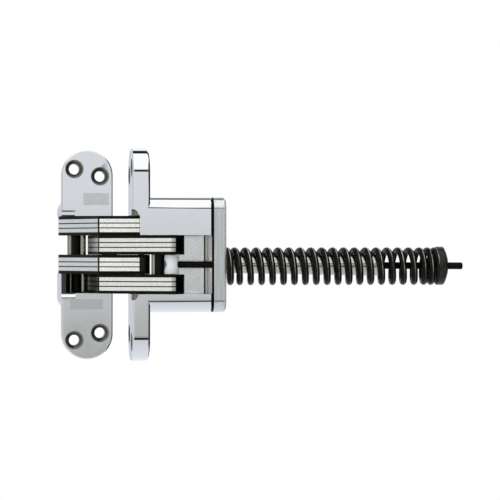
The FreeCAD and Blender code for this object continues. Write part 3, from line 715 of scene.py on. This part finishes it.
def spring_stations():
    """Where the wire's middle lies along the axis after each step, with closed turns at both ends."""
    steps = int(SPRING_TURNS * STEPS_PER_TURN)
    advances = []
    for step in range(steps):
        from_cap = step / STEPS_PER_TURN - CLOSED_TURNS_AT_CAP
        from_seat = (steps - 1 - step) / STEPS_PER_TURN - CLOSED_TURNS_AT_SEAT
        opened = min(max(min(from_cap, from_seat) / OPENING_TURNS, 0), 1)
        advances.append(1 + opened * opened * (3 - 2 * opened) * SPRING_OPENNESS)
    total = sum(advances)
    start = CAP_HIGH.x + GRIND_AT_CAP * WIRE_RADIUS
    length = SEAT_LOW.x - GRIND_AT_SEAT * WIRE_RADIUS - start
    stations = [start]
    for advance in advances:
        stations.append(stations[-1] + advance * length / total)
    return stations


def coil_spring():
    """Compression spring as one tube mesh round the rod, its ends ground flat against cap and seat."""
    shape = bmesh.new()
    stations = spring_stations()
    rings = []
    for step, station in enumerate(stations):
        turn = 2 * math.pi * step / STEPS_PER_TURN + SPRING_START_ANGLE
        ahead = stations[min(step + 1, len(stations) - 1)] - stations[max(step - 1, 0)]
        slope = ahead / (2 * 2 * math.pi / STEPS_PER_TURN)
        outward = Vector((0, math.cos(turn), math.sin(turn)))
        along_wire = Vector((slope, -COIL_RADIUS * math.sin(turn), COIL_RADIUS * math.cos(turn)))
        sideways = outward.cross(along_wire.normalized())
        middle = Vector((station, ROD_AXIS_Y, ROD_AXIS_Z - SPRING_SAG)) + outward * COIL_RADIUS
        ring = []
        for side in range(WIRE_SIDES):
            angle = 2 * math.pi * side / WIRE_SIDES
            place = middle + (outward * math.cos(angle) + sideways * math.sin(angle)) * WIRE_RADIUS
            place.x = min(max(place.x, CAP_HIGH.x), SEAT_LOW.x)
            ring.append(shape.verts.new(place))
        rings.append(ring)
    for first, second in zip(rings, rings[1:]):
        for side in range(WIRE_SIDES):
            after = (side + 1) % WIRE_SIDES
            shape.faces.new((first[side], first[after], second[after], second[side]))
    shape.faces.new(list(reversed(rings[0])))
    shape.faces.new(rings[-1])
    bmesh.ops.recalc_face_normals(shape, faces=shape.faces)
    mesh = bpy.data.meshes.new("closer_spring_coil")
    shape.to_mesh(mesh)
    shape.free()
    piece = bpy.data.objects.new("closer_spring_coil", mesh)
    bpy.context.scene.collection.objects.link(piece)
    smooth_by_angle(piece, WIRE_SHARP_ANGLE)
    finish_piece(piece, "spring_steel", "closer_spring")
    # One side of the wire gets the painted highlight along its whole length.
    mesh.materials.append(MATERIALS["spring_painted_highlight"])
    for face in mesh.polygons[: (len(stations) - 1) * WIRE_SIDES]:
        if face.index % WIRE_SIDES == HIGHLIGHT_SIDE:
            face.material_index = 1
    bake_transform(piece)


def dress_all():
    rollers = node_names("roller_pin")
    pins = [name for name in node_names("_pin") if name not in rollers]
    dress_casting("frame_casting", "frame_inside_shade")
    dress_casting("door_casting", "door_inside")
    for links in ("frame_link", "door_link"):
        dress_nodes(node_names(links, "lamination"), links + "_steel", LAMINATION_BEVEL)
    dress_nodes(node_names("cheek"), "black_steel", CHEEK_BEVEL, thicken_cheek)
    dress_nodes(pins, "pin_steel", 0)
    dress_nodes(rollers, "black_steel", 0)
    dress_cap()
    dress_nodes(["cap_screws"], "black_steel", CAP_SCREW_BEVEL)
    dress_nodes(["guide_tube"], "tube_nickel", TUBE_BEVEL, widen_tube)
    dress_nodes(["trunnion"], "trunnion_chrome", TURNED_BEVEL)
    dress_nodes(["closer_rod"], "black_steel", TURNED_BEVEL, widen_rod)
    dress_nodes(["spring_seat"], "seat_steel", TURNED_BEVEL, droop)
    coil_spring()


def white_floor():
    """A plane that is plain white to the camera and a soft pale card to everything else."""
    mesh = bpy.data.meshes.new("floor")
    half = FLOOR_SIZE / 2
    corners = [(-half, -half, 0), (half, -half, 0), (half, half, 0), (-half, half, 0)]
    mesh.from_pydata(corners, [], [(0, 1, 2, 3)])
    plane = bpy.data.objects.new("floor", mesh)
    plane.location.z = FLOOR_HEIGHT
    bpy.context.scene.collection.objects.link(plane)
    mesh.materials.append(backdrop_white())
    plane.visible_glossy = False


def backdrop_white():
    material, tree, shader = new_material("backdrop_white", (0.85, 0.85, 0.85), 0.0, 0.9)
    glow = add_node(tree, "ShaderNodeEmission")
    glow.inputs["Color"].default_value = (1, 1, 1, 1)
    show_to_camera(tree, glow.outputs["Emission"], shader.outputs["BSDF"], tree.nodes["Material Output"])
    return material


def show_to_camera(tree, shown, otherwise, output):
    """Links one shader for rays from the camera, and another for all other rays."""
    rays = add_node(tree, "ShaderNodeLightPath")
    mix = add_node(tree, "ShaderNodeMixShader")
    tree.links.new(rays.outputs["Is Camera Ray"], mix.inputs["Fac"])
    tree.links.new(otherwise, mix.inputs[1])
    tree.links.new(shown, mix.inputs[2])
    tree.links.new(mix.outputs["Shader"], output.inputs["Surface"])


def ring_of_bands(tree, angle, bands):
    """A colour ramp round the circle, from -180 to 180 degrees."""
    share = remap(tree, angle, -math.pi, math.pi, 0, 1)
    return color_ramp(tree, share, [(degrees / 360 + 0.5, color) for degrees, color in bands])


def studio_world():
    """White to the camera; to the metal, a studio with cards and gaps between them all round."""
    world = bpy.data.worlds.new("Studio")
    bpy.context.scene.world = world
    world.use_nodes = True
    tree = world.node_tree
    direction = split_coordinates(tree, "Generated")
    right = direction["X"]
    rise = direction["Z"]
    ahead = math_node(tree, "MULTIPLY", direction["Y"], -1.0)
    rising = ring_of_bands(tree, math_node(tree, "ARCTAN2", rise, ahead), RISING_BANDS)
    turning = ring_of_bands(tree, math_node(tree, "ARCTAN2", right, ahead), TURNING_BANDS)
    on_left = remap(tree, right, *LEFT_FADE, 0, 1)
    on_right = remap(tree, right, *RIGHT_FADE, 0, 1)
    sideways = math_node(tree, "MAXIMUM", on_left, on_right)
    level = remap(tree, math_node(tree, "ABSOLUTE", rise), *LEVEL_FADE, 1, 0)
    bands = mix_colors(tree, math_node(tree, "MULTIPLY", sideways, level), rising, turning)
    studio = tree.nodes["Background"]
    tree.links.new(bands, studio.inputs["Color"])
    studio.inputs["Strength"].default_value = STUDIO_STRENGTH
    white = add_node(tree, "ShaderNodeBackground")
    white.inputs["Color"].default_value = (1, 1, 1, 1)
    output = tree.nodes["World Output"]
    show_to_camera(tree, white.outputs["Background"], studio.outputs["Background"], output)


def photo_camera():
    data = bpy.data.cameras.new("Camera")
    data.lens = FOCAL_LENGTH_MM
    data.sensor_width = SENSOR_WIDTH_MM
    data.clip_end = CAMERA_REACH
    camera = bpy.data.objects.new("Camera", data)
    camera.location = CAMERA_PLACE
    camera.rotation_euler = (math.pi / 2, 0, -math.radians(CAMERA_TURN_DEGREES))
    bpy.context.scene.collection.objects.link(camera)
    bpy.context.scene.camera = camera


dress_all()
studio_world()
white_floor()
photo_camera()

bpy.context.scene.view_settings.view_transform = "Standard"
